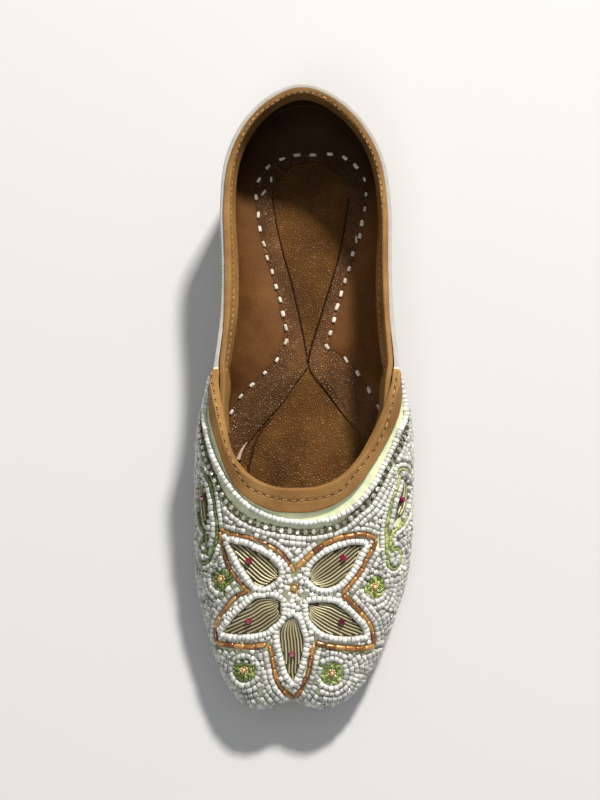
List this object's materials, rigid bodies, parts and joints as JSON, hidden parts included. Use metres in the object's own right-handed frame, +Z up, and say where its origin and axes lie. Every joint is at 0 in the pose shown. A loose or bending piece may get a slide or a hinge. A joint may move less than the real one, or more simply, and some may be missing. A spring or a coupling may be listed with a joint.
{
  "type": "mojari shoe",
  "caption": "Flat leather slip-on shoe with a low heel, an open collar bound in leather and a beaded vamp, for a woman's left foot.",
  "frame": {"origin": "centre of the rectangle that the shoe covers, on the plane that heel and forefoot stand on", "axes": "+Y towards the heel, -Y towards the toe, +Z up, -X towards the medial side"},
  "size_m": [0.084, 0.2478, 0.0484],
  "materials": {
    "sole_leather": "plain tanned, matt",
    "insole_leather": "brown, pebbled grain, slight gloss",
    "lining_leather": "brown, fine grain, satin",
    "vamp_silk": "pale mint silk",
    "quarter_fabric": "pale plain weave",
    "binding_leather": "tan, smooth, satin",
    "white_thread": "thick waxed cotton",
    "tan_thread": "fine thread",
    "white_bead": "opaque glass seed bead, glossy",
    "copper_bead": "silver-lined orange glass tube",
    "green_bead": "silver-lined green glass bead",
    "gold_thread": "dull gilt coiled wire",
    "gold_bead": "polished gilt",
    "ruby_stone": "faceted red stone",
    "crystal_stone": "foiled clear stone"
  },
  "bodies": {
    "root": {"outsole": "sole_leather", "insole": "insole_leather", "lining_margin": "lining_leather", "upper": "vamp_silk", "throat_binding": "binding_leather", "collar_binding": "binding_leather"}
  },
  "joints": []
}
